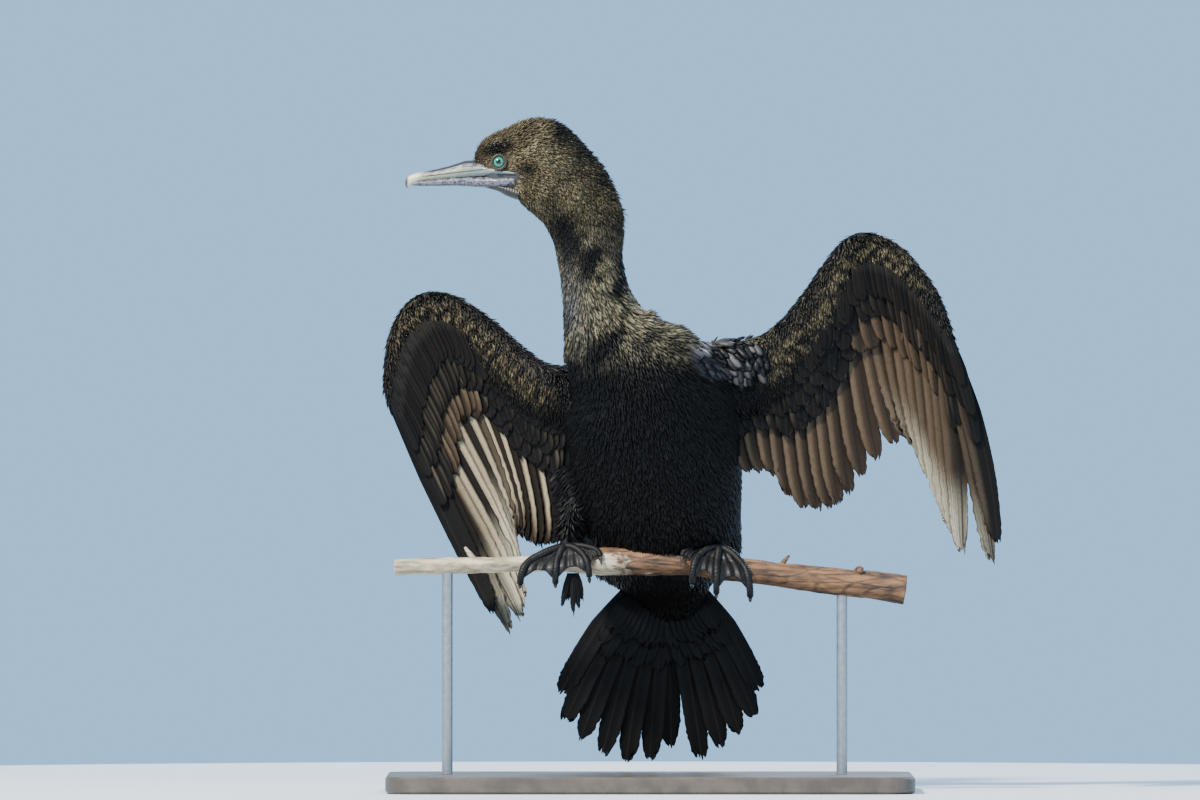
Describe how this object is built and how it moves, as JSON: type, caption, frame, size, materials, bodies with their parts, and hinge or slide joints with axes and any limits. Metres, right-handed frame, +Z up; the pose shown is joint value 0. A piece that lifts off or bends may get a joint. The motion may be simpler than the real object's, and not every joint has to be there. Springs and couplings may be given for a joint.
{
  "type": "little black cormorant model",
  "caption": "Life-size little black cormorant, wings half spread to dry, perched on a bare branch held by a plain display stand.",
  "frame": {"origin": "centre of the underside of the display stand's base", "axes": "+Z up, -Y the side that the breast faces, +X the side of the bird's left wing"},
  "size_m": [0.4596, 0.2, 0.4966],
  "materials": {
    "plumage": "black body feathers with a bronze sheen",
    "head_plumage": "short fluffed olive-bronze feathers",
    "flight_feathers": "brown-grey, worn, silvery undersides",
    "tail_feathers": "stiff black feathers",
    "horn": "slate-grey grooved horn",
    "dark_horn": "mottled violet-grey horn",
    "bare_skin": "dark bare skin",
    "eye": "emerald iris with a black pupil, polished",
    "foot_skin": "black scuted skin",
    "bark": "bare dead branch, peeled in places",
    "stand_rod": "dark grey satin paint",
    "stand_base": "dark grey satin paint on a wooden board"
  },
  "bodies": {
    "root": {"head": "head_plumage", "neck": "head_plumage", "torso": "plumage", "tail": "tail_feathers", "wing_left": "flight_feathers", "wing_right": "flight_feathers", "bill_upper": "horn", "bill_lower": "dark_horn", "gular_pouch": "bare_skin", "eye_left": "eye", "lid_left": "bare_skin", "eye_right": "eye", "lid_right": "bare_skin", "leg_left": "foot_skin", "leg_right": "foot_skin", "foot_left": "foot_skin", "foot_right": "foot_skin", "claw_left_outer": "dark_horn", "claw_left_middle": "dark_horn", "claw_left_inner": "dark_horn", "claw_left_hind": "dark_horn", "claw_right_outer": "dark_horn", "claw_right_middle": "dark_horn", "claw_right_inner": "dark_horn", "claw_right_hind": "dark_horn", "perch": "bark", "stand_rod_left": "stand_rod", "stand_rod_right": "stand_rod", "stand_base": "stand_base"}
  },
  "joints": []
}
